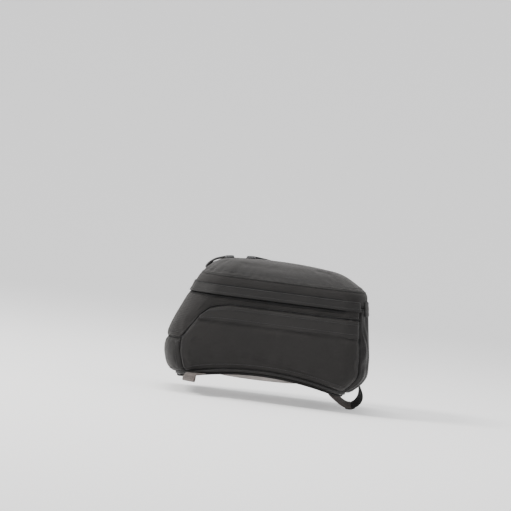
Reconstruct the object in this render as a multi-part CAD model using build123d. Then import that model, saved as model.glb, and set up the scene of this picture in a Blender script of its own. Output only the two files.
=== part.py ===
from build123d import *
import math
import os

os.makedirs("parts", exist_ok=True)

# A soft motorcycle tank bag on its quick-release tank ring.
# +X points to the handlebars, +Y to the rider's left and +Z up from the tank.
# The origin is the centre of the tank ring's seat on the tank. Sizes are in millimetres.

# The bag's outline, level by level:
# (height, rear end, front end, half width at the rear, half width at the front)
TUB_LEVELS = [
    (-14.0, -106, 118, 82, 90),
    (2.0, -127, 143, 92, 103),
    (20.0, -135, 158, 96, 109),
    (45.0, -138, 160, 97, 110),
    (76.0, -128, 157, 94, 107),
    (100.0, -118, 154, 91, 100),
    (124.7, -109.5, 151.3, 88, 94),
]
LID_LEVELS = [
    (125.3, -109.5, 151.3, 88, 94),
    (148.0, -99, 146, 80, 87),
    (160.0, -88, 130, 70, 77),
    (168.0, -72, 108, 54, 58),
    (173.0, -46, 66, 32, 34),
    (175.0, -14, 30, 9, 10),
]
ZIP_OUTLINE = (-109.5, 151.3, 88, 94)
FLAP_LEVELS = [(119.0, -112, 152, 88.5, 94.5), (134.0, -108, 150, 85.5, 92.5)]
REAR_CORNER = 40.0
FRONT_CORNER = 38.0

WALL = 5.0
LINING = 1.0
FLOOR_PAD_TOP = 17.0
BASE_PLATE_TOP = 20.0
WALL_TOP = 118.0
LID_WALL_BOTTOM = 132.0
HINGE_SIDE_X = 118.0

# The underside arches over the tank: fore and aft, and less across.
ARCH_CENTRE_X = 8.0
ARCH_RADIUS = 409.0
CROSS_RADIUS = 735.0
BASE_HEIGHT = 12.0
GUSSET_SEAM_HEIGHT = 16.5

# Panel seams on the sides
REAR_SEAM_X = -104.0
FRONT_SEAM_X = 147.0
BUMPER_SEAM_Z = 49.0
FIN_PROUD = 2.0
FIN_STEP_Z = 79.0
FIN_TOP_Z = 107.0
FIN_REAR_CURVE = [(-94, FIN_STEP_Z), (-88, 90), (-76, 100), (-60, 105.5), (-45, FIN_TOP_Z)]
FIN_FRONT = [(140, FIN_TOP_Z), (126, FIN_STEP_Z)]

# Quick-release ring
TANK_RING_INNER_R = 43.0
TANK_FLANGE_R = 70.0
TANK_FLANGE_TOP = 4.0
SPIGOT_NECK_R = 56.0
SPIGOT_NECK_Z = 5.0
SPIGOT_TOP_R = 59.0
SPIGOT_TOP_Z = 11.0
TANK_BOLT_CIRCLE_R = 49.0
TANK_BOLT_HOLE_R = 2.75
TANK_BOLT_HEAD_R = 4.75
TANK_BOLT_COUNT = 5
RECEIVER_BORE_R = 59.5
RECEIVER_R = 75.0
RECEIVER_BOTTOM = 4.4
RING_RECESS_R = 80.0

# Screws that hold the receiver ring to the bag's base plate
SCREW_CIRCLE_R = 67.5
SCREW_COUNT = 6
SCREW_FIRST_ANGLE = 16.7
SCREW_R = 2.5
SCREW_HOLE_R = 2.6
SCREW_HEAD_R = 4.5
SCREW_HEAD_HEIGHT = 2.4
SCREW_SINK_R = 4.8
NUT_FLATS = 8.0
NUT_HEIGHT = 4.0
NUT_BORE_R = 2.55

# Release latch, a radial slide towards the rear right corner, and its webbing strap
LATCH_ANGLE = 226.7
LATCH_WIDTH = 24.0
LATCH_BOTTOM = 5.8
LATCH_TOP = 10.2
LATCH_GAP = 0.3
LATCH_SHOULDER = 61.5
LATCH_STEM_END = 84.0
STEM_WIDTH = 12.0
NOSE_CLEARANCE = 0.4
SPRING_POCKET_END = 72.0
SPRING_WIRE_R = 0.3
SPRING_COIL_R = 1.6
SPRING_TURNS = 4
SPRING_OFFSET = 9.0
STRAP_WIDTH = 24.0
STRAP_THICKNESS = 1.6
STRAP_EXIT = 139.5
STRAP_ROOM = 1.5
GROOVE_START = 70.0
GROOVE_END = 139.0
STRAP_LEVEL = -0.5
STRAP_TAB_BOTTOM = -10.5

# Zip
TAPE_OUTER_INSET = 2.4
TAPE_THICKNESS = 1.4
TEETH_GAP = 1.6
ZIP_HEIGHT = 125.0
SLIDER_START_Y = 2.0
SLIDER_LENGTH = 12.0
SLIDER_HALF_HEIGHT = 4.5
SLIDER_PLATE = 1.2
SLIDER_GAP = 0.35
SLIDER_NECK_LENGTH = 3.0
PULL_START_Y = 8.0
PULL_LENGTH = 14.0
PULL_HALF_HEIGHT = 3.0
PULL_THICKNESS = 1.0
FLAP_INNER = 1.2
FLAP_OUTER = 2.6
FLAP_HEADER_Z = 132.0

# Carry handle on the lid crown, a loop that lies over to the left
HANDLE_ENDS_X = (-60.5, -29.5)
HANDLE_LEG_WIDTH = 14.0
HANDLE_LIFT = 2.6
HANDLE_THICKNESS = 3.0
HANDLE_REACH = 62.0
HANDLE_LOOP_HALF = 47.0
ANCHOR_LENGTH = 26.0
ANCHOR_THICKNESS = 2.0

# Safety strap loop under the nose
LOOP_HALF_WIDTH = 11.0
LOOP_THICKNESS = 2.5
LOOP_POINTS = [(94, 6), (119, -12.7), (142, -30), (157, -23), (163, -3), (155, 14)]
LOOP_RADII = [40, 12, 10, 14]

HIGH = 400.0


def plan_section(z, rear, front, half_rear, half_front, grow):
    """A flat outline of the bag at one height: a rounded trapezium, grown outwards."""
    corners = [
        (rear - grow, -half_rear - grow),
        (front + grow, -half_front - grow),
        (front + grow, half_front + grow),
        (rear - grow, half_rear + grow),
    ]
    rear_radius = min(REAR_CORNER, 0.8 * half_rear) + grow
    front_radius = min(FRONT_CORNER, 0.8 * half_front) + grow
    outline = make_face(Polyline(*corners, close=True))
    outline = fillet(outline.vertices().sort_by(Axis.X)[:2], rear_radius)
    outline = fillet(outline.vertices().sort_by(Axis.X)[-2:], front_radius)
    return Pos(0, 0, z) * outline


def skin(levels, grow, lift=0.0):
    """The solid inside the outline, grown sideways, with every level but the first lifted."""
    sections = []
    for index, (z, *outline) in enumerate(levels):
        height = z + (lift if index else 0.0)
        sections.append(plan_section(height, *outline, grow))
    return loft(sections)


def block(x0, x1, y0, y1, z0, z1):
    return Pos((x0 + x1) / 2, (y0 + y1) / 2, (z0 + z1) / 2) * Box(x1 - x0, y1 - y0, z1 - z0)


def side_slab(outline, y0, y1):
    """A closed outline in X and Z, extruded from y0 to y1."""
    plane = Plane(origin=(0, y1, 0), x_dir=(1, 0, 0), z_dir=(0, -1, 0))
    return extrude(plane * outline, amount=y1 - y0)


def ring_of(points):
    """A closed outline in radius and Z, turned about the Z axis."""
    face = Plane.XZ * make_face(Polyline(*points, close=True))
    return revolve(face, Axis.Z, 360)


def around(radius, count, first_angle):
    """Places on a circle about the Z axis."""
    step = 360 / count
    return [Rot(0, 0, first_angle + step * n) * Pos(radius, 0, 0) for n in range(count)]


def upright(radius, z0, z1):
    return Pos(0, 0, (z0 + z1) / 2) * Cylinder(radius, z1 - z0)


def towards_latch(shape):
    return Rot(0, 0, LATCH_ANGLE) * shape


def mirrored(shape):
    return mirror(shape, Plane.XZ)


def largest(shape):
    return shape.solids().sort_by(SortBy.VOLUME)[-1]


def below_gusset_seam():
    """Everything under the arched seam between the side panels and the bottom gusset."""
    centre = Pos(ARCH_CENTRE_X, 0, GUSSET_SEAM_HEIGHT - ARCH_RADIUS)
    return centre * Rot(90, 0, 0) * Cylinder(ARCH_RADIUS, HIGH)


def tank_top():
    """The tank under the bag, a barrel that the underside is shaped to."""
    reach = 140.0
    drop = CROSS_RADIUS - math.sqrt(CROSS_RADIUS**2 - reach**2)
    axis_height = BASE_HEIGHT - ARCH_RADIUS
    crown = ThreePointArc(
        (-reach, BASE_HEIGHT - drop), (0, BASE_HEIGHT), (reach, BASE_HEIGHT - drop)
    )
    sides = Polyline(
        (reach, BASE_HEIGHT - drop), (reach, axis_height), (-reach, axis_height),
        (-reach, BASE_HEIGHT - drop),
    )
    plane = Plane(origin=(ARCH_CENTRE_X, 0, 0), x_dir=(0, 1, 0), z_dir=(1, 0, 0))
    axis = Axis((ARCH_CENTRE_X, 0, axis_height), (0, 1, 0))
    return revolve(plane * make_face([crown, sides]), axis, 360)


# Shared solids
tub = skin(TUB_LEVELS, 0)
tub_inside_wall = skin(TUB_LEVELS, -WALL)
tub_cavity = skin(TUB_LEVELS, -WALL - LINING)
lid = skin(LID_LEVELS, 0)
tank = tank_top()
gusset_zone = below_gusset_seam()
open_top = block(-HIGH, HINGE_SIDE_X, -HIGH, HIGH, WALL_TOP, HIGH)
half_slot = STRAP_WIDTH / 2 + STRAP_ROOM
strap_slot = towards_latch(
    block(GROOVE_START, HIGH, -half_slot, half_slot, STRAP_LEVEL - 3, STRAP_LEVEL + 3)
)
strap_groove = towards_latch(
    block(GROOVE_START, GROOVE_END, -half_slot, half_slot, -30, BASE_HEIGHT - 1)
)
tub_wall = tub - tub_inside_wall - gusset_zone - open_top - strap_slot


def tank_ring():
    ring = ring_of([
        (TANK_RING_INNER_R, 0), (TANK_FLANGE_R, 0), (TANK_FLANGE_R, TANK_FLANGE_TOP),
        (SPIGOT_NECK_R, TANK_FLANGE_TOP), (SPIGOT_NECK_R, SPIGOT_NECK_Z),
        (SPIGOT_TOP_R, SPIGOT_TOP_Z), (TANK_RING_INNER_R, SPIGOT_TOP_Z),
    ])
    for place in around(TANK_BOLT_CIRCLE_R, TANK_BOLT_COUNT, 90):
        ring -= place * upright(TANK_BOLT_HOLE_R, -1, SPIGOT_TOP_Z + 1)
        ring -= place * upright(TANK_BOLT_HEAD_R, SPIGOT_NECK_Z, SPIGOT_TOP_Z + 1)
    return ring


def receiver_ring():
    ring = ring_of([
        (RECEIVER_BORE_R, RECEIVER_BOTTOM), (RECEIVER_R, RECEIVER_BOTTOM),
        (RECEIVER_R, BASE_HEIGHT), (RECEIVER_BORE_R, BASE_HEIGHT),
    ])
    half_pocket = LATCH_WIDTH / 2 + LATCH_GAP
    half_stem = STEM_WIDTH / 2 + LATCH_GAP
    bottom = LATCH_BOTTOM - LATCH_GAP
    top = LATCH_TOP + LATCH_GAP
    ring -= towards_latch(block(50, SPRING_POCKET_END, -half_pocket, half_pocket, bottom, top))
    ring -= towards_latch(block(50, RECEIVER_R + 5, -half_stem, half_stem, bottom, top))
    for place in around(SCREW_CIRCLE_R, SCREW_COUNT, SCREW_FIRST_ANGLE):
        ring -= place * upright(SCREW_HOLE_R, 0, BASE_HEIGHT + 1)
        ring -= place * upright(SCREW_SINK_R, 0, RECEIVER_BOTTOM + SCREW_HEAD_HEIGHT)
    return ring


def ring_screws():
    head_top = RECEIVER_BOTTOM + SCREW_HEAD_HEIGHT
    nut_top = BASE_PLATE_TOP + NUT_HEIGHT
    screw = upright(SCREW_HEAD_R, RECEIVER_BOTTOM + 0.2, head_top)
    screw += upright(SCREW_R, head_top, nut_top)
    return Compound([place * screw for place in around(SCREW_CIRCLE_R, SCREW_COUNT, SCREW_FIRST_ANGLE)])


def ring_nuts():
    hexagon = RegularPolygon(NUT_FLATS / 2, 6, major_radius=False)
    nut = Pos(0, 0, BASE_PLATE_TOP) * extrude(hexagon, amount=NUT_HEIGHT)
    nut -= upright(NUT_BORE_R, 0, HIGH)
    return Compound([place * nut for place in around(SCREW_CIRCLE_R, SCREW_COUNT, SCREW_FIRST_ANGLE)])


def screw_holes(radius):
    holes = [
        place * upright(radius, 0, HIGH / 2)
        for place in around(SCREW_CIRCLE_R, SCREW_COUNT, SCREW_FIRST_ANGLE)
    ]
    return Compound(holes)


def release_latch():
    def nose_at(z):
        return SPIGOT_NECK_R + (z - SPIGOT_NECK_Z) / 2 + NOSE_CLEARANCE

    outline = make_face(Polyline(
        (nose_at(LATCH_BOTTOM), LATCH_BOTTOM), (LATCH_SHOULDER, LATCH_BOTTOM),
        (LATCH_SHOULDER, LATCH_TOP), (nose_at(LATCH_TOP), LATCH_TOP), close=True,
    ))
    latch = side_slab(outline, -LATCH_WIDTH / 2, LATCH_WIDTH / 2)
    latch += block(
        LATCH_SHOULDER - 1, LATCH_STEM_END, -STEM_WIDTH / 2, STEM_WIDTH / 2, LATCH_BOTTOM, LATCH_TOP
    )
    return towards_latch(latch)


def latch_springs():
    length = SPRING_POCKET_END - LATCH_SHOULDER - 0.6
    coil = Helix(length / SPRING_TURNS, length, SPRING_COIL_R)
    wire = Plane(origin=coil @ 0, z_dir=coil % 0) * Circle(SPRING_WIRE_R)
    spring = sweep(wire, path=coil)
    middle = (LATCH_BOTTOM + LATCH_TOP) / 2
    pair = [
        Pos(LATCH_SHOULDER + 0.3, side * SPRING_OFFSET, middle) * Rot(0, 90, 0) * spring
        for side in (-1, 1)
    ]
    return towards_latch(Compound(pair))


def release_strap():
    middle = (LATCH_BOTTOM + LATCH_TOP) / 2
    path = FilletPolyline(
        (LATCH_STEM_END, middle), (LATCH_STEM_END + 8, middle), (LATCH_STEM_END + 20, STRAP_LEVEL),
        (STRAP_EXIT, STRAP_LEVEL), (STRAP_EXIT, STRAP_TAB_BOTTOM), radius=2.0,
    )
    ribbon = side_slab(trace(path, STRAP_THICKNESS), -STRAP_WIDTH / 2, STRAP_WIDTH / 2)
    start = block(0, LATCH_STEM_END, -HIGH, HIGH, -HIGH, HIGH)
    return towards_latch(ribbon - start)


def bottom_pad():
    pad = (tub_inside_wall & block(-HIGH, HIGH, -HIGH, HIGH, -HIGH, FLOOR_PAD_TOP)) - tank
    pad -= upright(RING_RECESS_R, -60, BASE_HEIGHT)
    return pad - strap_groove - screw_holes(SCREW_HOLE_R)


def bottom_gusset():
    return ((tub - tub_inside_wall) & gusset_zone) - tank - strap_slot


def base_plate():
    slab = block(-HIGH, HIGH, -HIGH, HIGH, FLOOR_PAD_TOP, BASE_PLATE_TOP)
    return (skin(TUB_LEVELS, -3 * WALL) & slab) - screw_holes(SCREW_HOLE_R)


def body_lining():
    walls = (tub_inside_wall - tub_cavity) & block(-HIGH, HIGH, -HIGH, HIGH, BASE_PLATE_TOP, WALL_TOP)
    floor = tub_cavity & block(-HIGH, HIGH, -HIGH, HIGH, BASE_PLATE_TOP, BASE_PLATE_TOP + LINING)
    return (walls + floor) - screw_holes(NUT_FLATS * 0.75)


def side_panel_right():
    return tub_wall & block(REAR_SEAM_X, FRONT_SEAM_X, -HIGH, 0, -HIGH, HIGH)


def rear_panel():
    return tub_wall & block(-HIGH, REAR_SEAM_X, -HIGH, HIGH, BUMPER_SEAM_Z, HIGH)


def rear_bumper():
    return tub_wall & block(-HIGH, REAR_SEAM_X, -HIGH, HIGH, -HIGH, BUMPER_SEAM_Z)


def front_panel():
    return tub_wall & block(FRONT_SEAM_X, HIGH, -HIGH, HIGH, -HIGH, HIGH)


def side_fin_right():
    """A moulded panel that stands proud along the upper half of the side."""
    outline = make_face(Polyline(*FIN_REAR_CURVE, *FIN_FRONT, close=True))
    return (skin(TUB_LEVELS, FIN_PROUD) - tub) & side_slab(outline, -HIGH, -50)


def lid_hinge_strip():
    """The strip of webbing under the lid's fabric hinge, sewn to the top of the front panel."""
    return (skin(TUB_LEVELS, 1.2) - tub) & block(140, HIGH, -52, 52, 112, 124.2)


def zip_tape(z0, z1):
    outer = extrude(plan_section(z0, *ZIP_OUTLINE, -TAPE_OUTER_INSET), amount=z1 - z0)
    inner_grow = -TAPE_OUTER_INSET - TAPE_THICKNESS
    inner = extrude(plan_section(z0, *ZIP_OUTLINE, inner_grow), amount=z1 - z0)
    return (outer - inner) & block(-HIGH, HINGE_SIDE_X, -HIGH, HIGH, z0, z1)


def zip_slider(side):
    """Two plates, one each side of the teeth, joined by a neck between the two rows."""
    tape_outer = ZIP_OUTLINE[0] + TAPE_OUTER_INSET
    tape_inner = tape_outer + TAPE_THICKNESS
    start = SLIDER_START_Y
    end = start + SLIDER_LENGTH
    low = ZIP_HEIGHT - SLIDER_HALF_HEIGHT
    high = ZIP_HEIGHT + SLIDER_HALF_HEIGHT
    neck = TEETH_GAP / 2 - LATCH_GAP
    outside = tape_outer - SLIDER_GAP - SLIDER_PLATE
    inside = tape_inner + SLIDER_GAP + SLIDER_PLATE
    slider = block(outside, outside + SLIDER_PLATE, start, end, low, high)
    slider += block(inside - SLIDER_PLATE, inside, start, end, low, high)
    slider += block(
        outside, inside, start, start + SLIDER_NECK_LENGTH, ZIP_HEIGHT - neck, ZIP_HEIGHT + neck
    )
    return slider if side > 0 else mirrored(slider)


def zip_pull(side):
    outside = ZIP_OUTLINE[0] + TAPE_OUTER_INSET - SLIDER_GAP - SLIDER_PLATE
    end = PULL_START_Y + PULL_LENGTH
    pull = block(
        outside - PULL_THICKNESS, outside, PULL_START_Y, end,
        ZIP_HEIGHT - PULL_HALF_HEIGHT, ZIP_HEIGHT + PULL_HALF_HEIGHT,
    )
    return pull if side > 0 else mirrored(pull)


def rain_flap():
    """The flap that hangs from the lid over the zip, round the sides and the rear."""
    reach = block(-HIGH, HINGE_SIDE_X - 6, -HIGH, HIGH, 0, HIGH)
    outer = skin(FLAP_LEVELS, FLAP_OUTER)
    flap = (outer - skin(FLAP_LEVELS, FLAP_INNER)) & reach
    header = (outer - lid) & block(-HIGH, HINGE_SIDE_X - 6, -HIGH, HIGH, FLAP_HEADER_Z, HIGH)
    return flap + header


def lid_shell():
    inside = skin(LID_LEVELS[:-1], -WALL, lift=-WALL)
    zip_room = block(-HIGH, HINGE_SIDE_X, -HIGH, HIGH, 0, LID_WALL_BOTTOM)
    return lid - inside - zip_room


def lid_lining():
    outer = skin(LID_LEVELS[:-1], -WALL, lift=-WALL)
    inner = skin(LID_LEVELS[:-1], -WALL - LINING, lift=-WALL - LINING)
    return (outer - inner) & block(-HIGH, HIGH, -HIGH, HIGH, LID_WALL_BOTTOM, HIGH)


def handle_anchors():
    patch = skin(LID_LEVELS, ANCHOR_THICKNESS, lift=ANCHOR_THICKNESS) - lid
    half = HANDLE_LEG_WIDTH / 2 + 1.5
    zone = [block(x - half, x + half, -ANCHOR_LENGTH + 6, 6, 160, HIGH) for x in HANDLE_ENDS_X]
    return Compound([largest(patch & part) for part in zone])


def carry_handle():
    """A loop of rubberised webbing that widens from its two ends and lies on the crown."""
    left, right = HANDLE_ENDS_X
    middle = (left + right) / 2
    path = FilletPolyline(
        (left, 0.5), (left, 12), (middle - HANDLE_LOOP_HALF, 34), (middle - HANDLE_LOOP_HALF, HANDLE_REACH),
        (middle + HANDLE_LOOP_HALF, HANDLE_REACH), (middle + HANDLE_LOOP_HALF, 34), (right, 12), (right, 0.5),
        radius=9.0,
    )
    loop = extrude(trace(path, HANDLE_LEG_WIDTH), amount=HIGH)
    low = skin(LID_LEVELS, HANDLE_LIFT, lift=HANDLE_LIFT)
    top = HANDLE_LIFT + HANDLE_THICKNESS
    high = skin(LID_LEVELS, top, lift=top)
    return largest((high - low) & loop & block(-HIGH, HIGH, 0.5, HIGH, 140, HIGH))


def front_strap_loop():
    path = FilletPolyline(*LOOP_POINTS, radius=LOOP_RADII)
    ribbon = side_slab(trace(path, LOOP_THICKNESS), -LOOP_HALF_WIDTH, LOOP_HALF_WIDTH)
    return largest(ribbon - (tub - tank))


side_right = side_panel_right()
fin_right = side_fin_right()

NODES = {
    "tank_ring": tank_ring(),
    "receiver_ring": receiver_ring(),
    "ring_screws": ring_screws(),
    "ring_nuts": ring_nuts(),
    "base_plate": base_plate(),
    "release_latch": release_latch(),
    "latch_springs": latch_springs(),
    "release_strap": release_strap(),
    "bottom_pad": bottom_pad(),
    "bottom_gusset": bottom_gusset(),
    "side_panel_right": side_right,
    "side_panel_left": (tub - tub_inside_wall - gusset_zone - open_top)
    & block(REAR_SEAM_X, FRONT_SEAM_X, 0, HIGH, -HIGH, HIGH),
    "side_fin_right": fin_right,
    "side_fin_left": mirrored(fin_right),
    "rear_panel": rear_panel(),
    "rear_bumper": rear_bumper(),
    "front_panel": front_panel(),
    "body_lining": body_lining(),
    "zip_tape_lower": zip_tape(WALL_TOP, ZIP_HEIGHT - TEETH_GAP / 2),
    "zip_tape_upper": zip_tape(ZIP_HEIGHT + TEETH_GAP / 2, LID_WALL_BOTTOM),
    "lid_hinge_strip": lid_hinge_strip(),
    "rain_flap": rain_flap(),
    "lid_shell": lid_shell(),
    "lid_lining": lid_lining(),
    "handle_anchors": handle_anchors(),
    "carry_handle": carry_handle(),
    "zip_slider_left": zip_slider(1),
    "zip_slider_right": zip_slider(-1),
    "zip_pull_left": zip_pull(1),
    "zip_pull_right": zip_pull(-1),
    "front_strap_loop": front_strap_loop(),
}

for name, shape in NODES.items():
    export_step(shape, f"parts/{name}.step")
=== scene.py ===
import math

import bpy
import numpy as np
from mathutils import Matrix, Vector, noise


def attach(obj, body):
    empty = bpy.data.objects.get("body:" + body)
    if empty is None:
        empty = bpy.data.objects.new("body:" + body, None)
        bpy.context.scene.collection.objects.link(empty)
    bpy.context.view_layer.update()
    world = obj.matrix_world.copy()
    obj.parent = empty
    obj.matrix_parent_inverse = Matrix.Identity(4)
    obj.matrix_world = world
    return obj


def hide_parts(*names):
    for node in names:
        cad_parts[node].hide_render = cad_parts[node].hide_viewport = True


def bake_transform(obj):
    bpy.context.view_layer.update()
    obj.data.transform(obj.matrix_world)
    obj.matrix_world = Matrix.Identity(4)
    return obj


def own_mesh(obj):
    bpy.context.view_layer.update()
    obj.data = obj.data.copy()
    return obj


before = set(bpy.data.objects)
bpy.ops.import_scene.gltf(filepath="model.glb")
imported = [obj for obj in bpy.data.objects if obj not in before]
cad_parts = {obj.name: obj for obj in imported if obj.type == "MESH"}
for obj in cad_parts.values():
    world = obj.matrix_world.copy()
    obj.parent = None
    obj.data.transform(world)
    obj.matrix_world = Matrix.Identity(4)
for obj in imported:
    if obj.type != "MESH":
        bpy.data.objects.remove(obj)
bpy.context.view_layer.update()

# Shapes are worked out in millimetres and made in metres. X is forward, Y left, Z up.
MM = 0.001
SCENE = bpy.context.scene

# The bag's outline, level by level: height, rear, front, half width at the rear and at the front
TUB = [
    (-14, -106, 118, 82, 90), (2, -127, 143, 92, 103), (20, -135, 158, 96, 109),
    (45, -138, 160, 97, 110), (76, -128, 157, 94, 107), (100, -118, 154, 91, 100),
    (124.7, -109.5, 151.3, 88, 94),
]
LID = [
    (112, -113.5, 153.4, 89.8, 95.8), (119, -111.4, 152.4, 88.8, 94.8), (125.3, -109.5, 151.3, 88, 94),
    (134, -106.6, 149.9, 85.8, 92), (148, -99, 146, 80, 87), (154, -94, 139, 76, 83),
]
REAR_CORNER = 40
FRONT_CORNER = 38

# Seams, as heights in millimetres or as places round the outline. Places run from 0 at the middle
# of the rear to 5 at the middle of the front, and are negative on the left.
ARCH_X, ARCH_RADIUS, CROSS_RADIUS = 8, 409, 1700
GUSSET_SEAM, BASE = 16.5, 12
BUMPER_SEAM = 49
FIN_STEP, FIN_TOP = 79, 107
SWOOP = [(1.70, BUMPER_SEAM), (1.76, 60), (1.81, 73), (1.89, 88), (2.0, 99), (2.06, 103), (2.14, FIN_TOP)]
FRONT_SEAM = 3.5
FLAP_LOW, FLAP_SEAM = 119, 133
FLAP_END = 3.5
ZIP_END = 3.06
HINGE_END = 3.64
SHOULDER = 148
WALL_TOP, FRONT_TOP = 118, 124
BUMPER_END = 1.72

# Insets from the outside, thicknesses and radii in millimetres
LINING_INSET, LINING_FLOOR = 6.2, 20.4  # the second is the height of the wall's lower edge
TAPE_INSET = 3.1
RING_OPENING = 79.0
PANEL_PLY, LINING_PLY = 3.2, 0.8
WELT_DEPTH, WELT_RADIUS = 3.0, 1.1
STITCH_LIFT = 0.25

# Slack creases in the side panels: their two ends in X and Z, depth and width
SIDE_CREASES = [
    ((-22, 35), (76, 20), 1.7, 2.3), ((-98, 49), (-58, 41), 1.8, 1.9),
    ((-100, 30), (-70, 22), 0.8, 2.4), ((96, 62), (138, 46), 0.9, 2.8),
]

# The latch's own line, and its two springs along that line
LATCH_OUT, LATCH_ACROSS = np.array([-0.6858, -0.7278, 0.0]), np.array([0.7278, -0.6858, 0.0])
SPRING_START, SPRING_END, LATCH_TRAVEL = 61.8, 71.7, 7.0
SPRING_TURNS, SPRING_RADIUS, SPRING_WIRE = 4, 1.6, 0.3
SPRING_LEVEL, SPRING_APART = 8, 9

# The middle of each of the carry loop's sewn ends, and the patches under them
HANDLE_ENDS = (("rear", -60.5), ("front", -29.5))
PATCH_HALF, PATCH_RIGHT, PATCH_LEFT = 8.6, -20, 6

# The lid's crown: share of the way out to the shoulder, squared, and share of the crown's height
APEX_X, CROWN_HEIGHT = 8, 27
CROWN_REAR = [(0, 1), (0.2025, 0.93), (0.49, 0.815), (0.7225, 0.63), (1, 0)]
CROWN_SIDE = [(0, 1), (0.16, 0.926), (0.456, 0.74), (0.766, 0.444), (1, 0)]
CROWN_FRONT = [(0, 1), (0.27, 0.88), (0.6, 0.667), (0.781, 0.37), (1, 0)]


def hermite(table, at):
    """A smooth curve through the table's rows, read at the given places in its first column."""
    table = np.array(table, float)
    keys, values = table[:, 0], table[:, 1:]
    slopes = np.gradient(values, keys, axis=0)
    at = np.clip(np.asarray(at, float), keys[0], keys[-1])
    k = np.clip(np.searchsorted(keys, at, side="right") - 1, 0, len(keys) - 2)
    step = (keys[k + 1] - keys[k])[..., None]
    u = (at - keys[k])[..., None] / step
    start, end = values[k], values[k + 1]
    lead, tail = slopes[k] * step, slopes[k + 1] * step
    return (
        (2 * u**3 - 3 * u**2 + 1) * start + (u**3 - 2 * u**2 + u) * lead
        + (3 * u**2 - 2 * u**3) * end + (u**3 - u**2) * tail
    )


def lerp(a, b, f):
    return a + (b - a) * f


def unit(vectors):
    return vectors / np.maximum(np.linalg.norm(vectors, axis=-1, keepdims=True), 1e-9)


def wrapped(t):
    """Places as numbers from -5 to 5, however they were counted."""
    return (np.asarray(t, float) + 5) % 10 - 5


def all_round(count):
    """Evenly spaced places all the way round the outline."""
    return np.linspace(-5, 5, count + 1)[:-1]


def full_turn(count=96):
    return np.linspace(0, 2 * math.pi, count + 1)[:-1]


ROUND = all_round(220)


def smooth(a, b, x):
    f = np.clip((x - a) / (b - a), 0, 1)
    return f * f * (3 - 2 * f)


def outline(levels, t, z):
    """X, Y and outward direction of the bag's rounded outline at place t and height z."""
    rear, front, half_rear, half_front = np.moveaxis(hermite(levels, z), -1, 0)
    t = wrapped(t)
    a = np.abs(t)
    side = np.where(t < 0, 1.0, -1.0)
    length = np.hypot(front - rear, half_front - half_rear)
    nx, ny = -(half_front - half_rear) / length, (front - rear) / length

    def centre(x, radius):
        return half_rear + (-radius - (x - rear) * nx) / ny

    x_rear, x_front = rear + REAR_CORNER, front - FRONT_CORNER
    y_rear, y_front = centre(x_rear, REAR_CORNER), centre(x_front, FRONT_CORNER)
    turn = np.arctan2(ny, nx)
    zones = [a < 1, a < 2, a < 3, a < 4]
    along = a - 2
    angle = np.select(zones, [math.pi, lerp(math.pi, turn, a - 1), turn, turn * (4 - a)], 0.0)
    cx = np.select(zones, [x_rear, x_rear, lerp(x_rear, x_front, along), x_front], x_front)
    cy = np.select(zones, [y_rear * a, y_rear, lerp(y_rear, y_front, along), y_front], y_front * (5 - a))
    radius = lerp(REAR_CORNER, FRONT_CORNER, np.clip(along, 0, 1))
    x = cx + radius * np.cos(angle)
    y = (cy + radius * np.sin(angle)) * side
    return x, y, np.cos(angle), np.sin(angle) * side


def skin(levels, t, z):
    """Points on the bag's outside and their outward normals."""
    t, z = np.broadcast_arrays(np.asarray(t, float), np.asarray(z, float))
    x, y, nx, ny = outline(levels, t, z)
    above, below = outline(levels, t, z + 0.5), outline(levels, t, z - 0.5)
    rise = (above[0] - below[0]) * nx + (above[1] - below[1]) * ny
    return np.stack([x, y, z], -1), unit(np.stack([nx, ny, -rise], -1))


def arch(x, y):
    return GUSSET_SEAM - (x - ARCH_X) ** 2 / (2 * ARCH_RADIUS)


def underside(x, y):
    return BASE - (x - ARCH_X) ** 2 / (2 * ARCH_RADIUS) - y**2 / (2 * CROSS_RADIUS)


def where_wall_meets(surface, t):
    """The height at which the bag's outside meets a surface that is given over X and Y."""
    z = np.full(np.shape(t), 6.0)
    for _ in range(14):
        x, y = outline(TUB, t, z)[:2]
        z = (z + surface(x, y)) / 2
    return z


def gusset_height(t):
    return where_wall_meets(arch, t)


def base_height(t):
    return where_wall_meets(underside, t)


def by_front(rear_value, front_value):
    """A height that steps from one value to the other where the zip ends, near the front corners."""
    return lambda t: lerp(rear_value, front_value, smooth(3.02, 3.2, np.abs(wrapped(t))))


def swoop_height(t):
    """The seam over the fin: level along the side, then down behind it to the bumper's seam."""
    return np.interp(np.abs(t), *zip(*SWOOP))


def rows_between(count, crowd=0.6):
    """Fractions from 0 to 1 that crowd together at both ends, where a panel rolls into its seams."""
    f = np.linspace(0, 1, count + 1)
    return lerp(f, 0.5 - 0.5 * np.cos(math.pi * f), crowd)


def run_lengths(points, axis=0):
    """How far along each row or column of points each point is."""
    steps = np.linalg.norm(np.diff(points, axis=axis), axis=-1)
    return np.concatenate([np.zeros_like(np.take(steps, [0], axis)), np.cumsum(steps, axis)], axis)


def from_edges(points, closed=False):
    """How far each point of a grid is from the grid's nearest edge."""
    up = run_lengths(points)
    border = np.minimum(up, up[-1:] - up)
    if closed:
        return border
    across = run_lengths(points, 1)
    return np.minimum(border, np.minimum(across, across[:, -1:] - across))


def points_at(places, runs, values):
    """Points read off a path at the given distances along it."""
    return np.stack([np.interp(places, runs, values[:, k]) for k in range(3)], 1)


def noise_at(points, stretch, seed):
    """Smooth noise from -1 to 1 at each point, drawn out along each axis by stretch."""
    flat = points.reshape(-1, 3) / np.array(stretch, float) + seed * 17.3
    return np.array([noise.noise(Vector(p)) for p in flat]).reshape(points.shape[:-1])


# ---- meshes ----

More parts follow.
